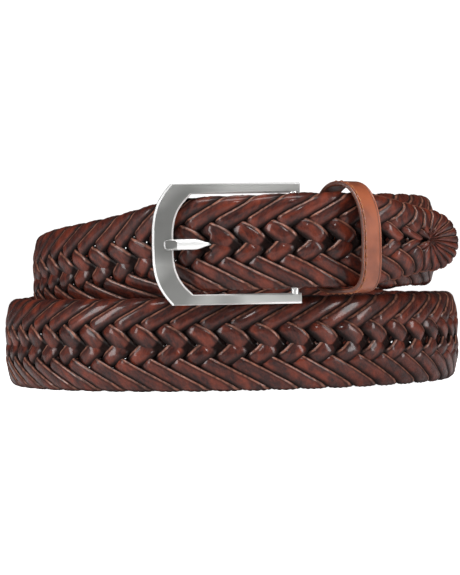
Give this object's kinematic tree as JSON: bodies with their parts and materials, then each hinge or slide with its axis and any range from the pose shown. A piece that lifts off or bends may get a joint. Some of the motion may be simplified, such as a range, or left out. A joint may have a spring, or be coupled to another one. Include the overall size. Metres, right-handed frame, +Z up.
{
  "type": "braided belt",
  "caption": "Braided leather waist belt with a metal frame buckle, prong and plain keeper loop, fastened and coiled twice on its edge.",
  "frame": {"origin": "on the floor, under the middle of the fastened belt's bounding box", "axes": "+Z up across the strap's width; -Y toward the buckle; +X toward the strap's tip"},
  "size_m": [0.168, 0.1818, 0.0698],
  "materials": {
    "braid_leather": "semi-gloss dark red-brown",
    "plain_leather": "smooth satin tan-brown",
    "nickel": "satin faces with polished bevels"
  },
  "bodies": {
    "root": {"strap": "braid_leather", "buckle_frame": "nickel", "prong": "nickel", "buckle_tab": "plain_leather", "keeper_loop": "plain_leather"}
  },
  "joints": []
}
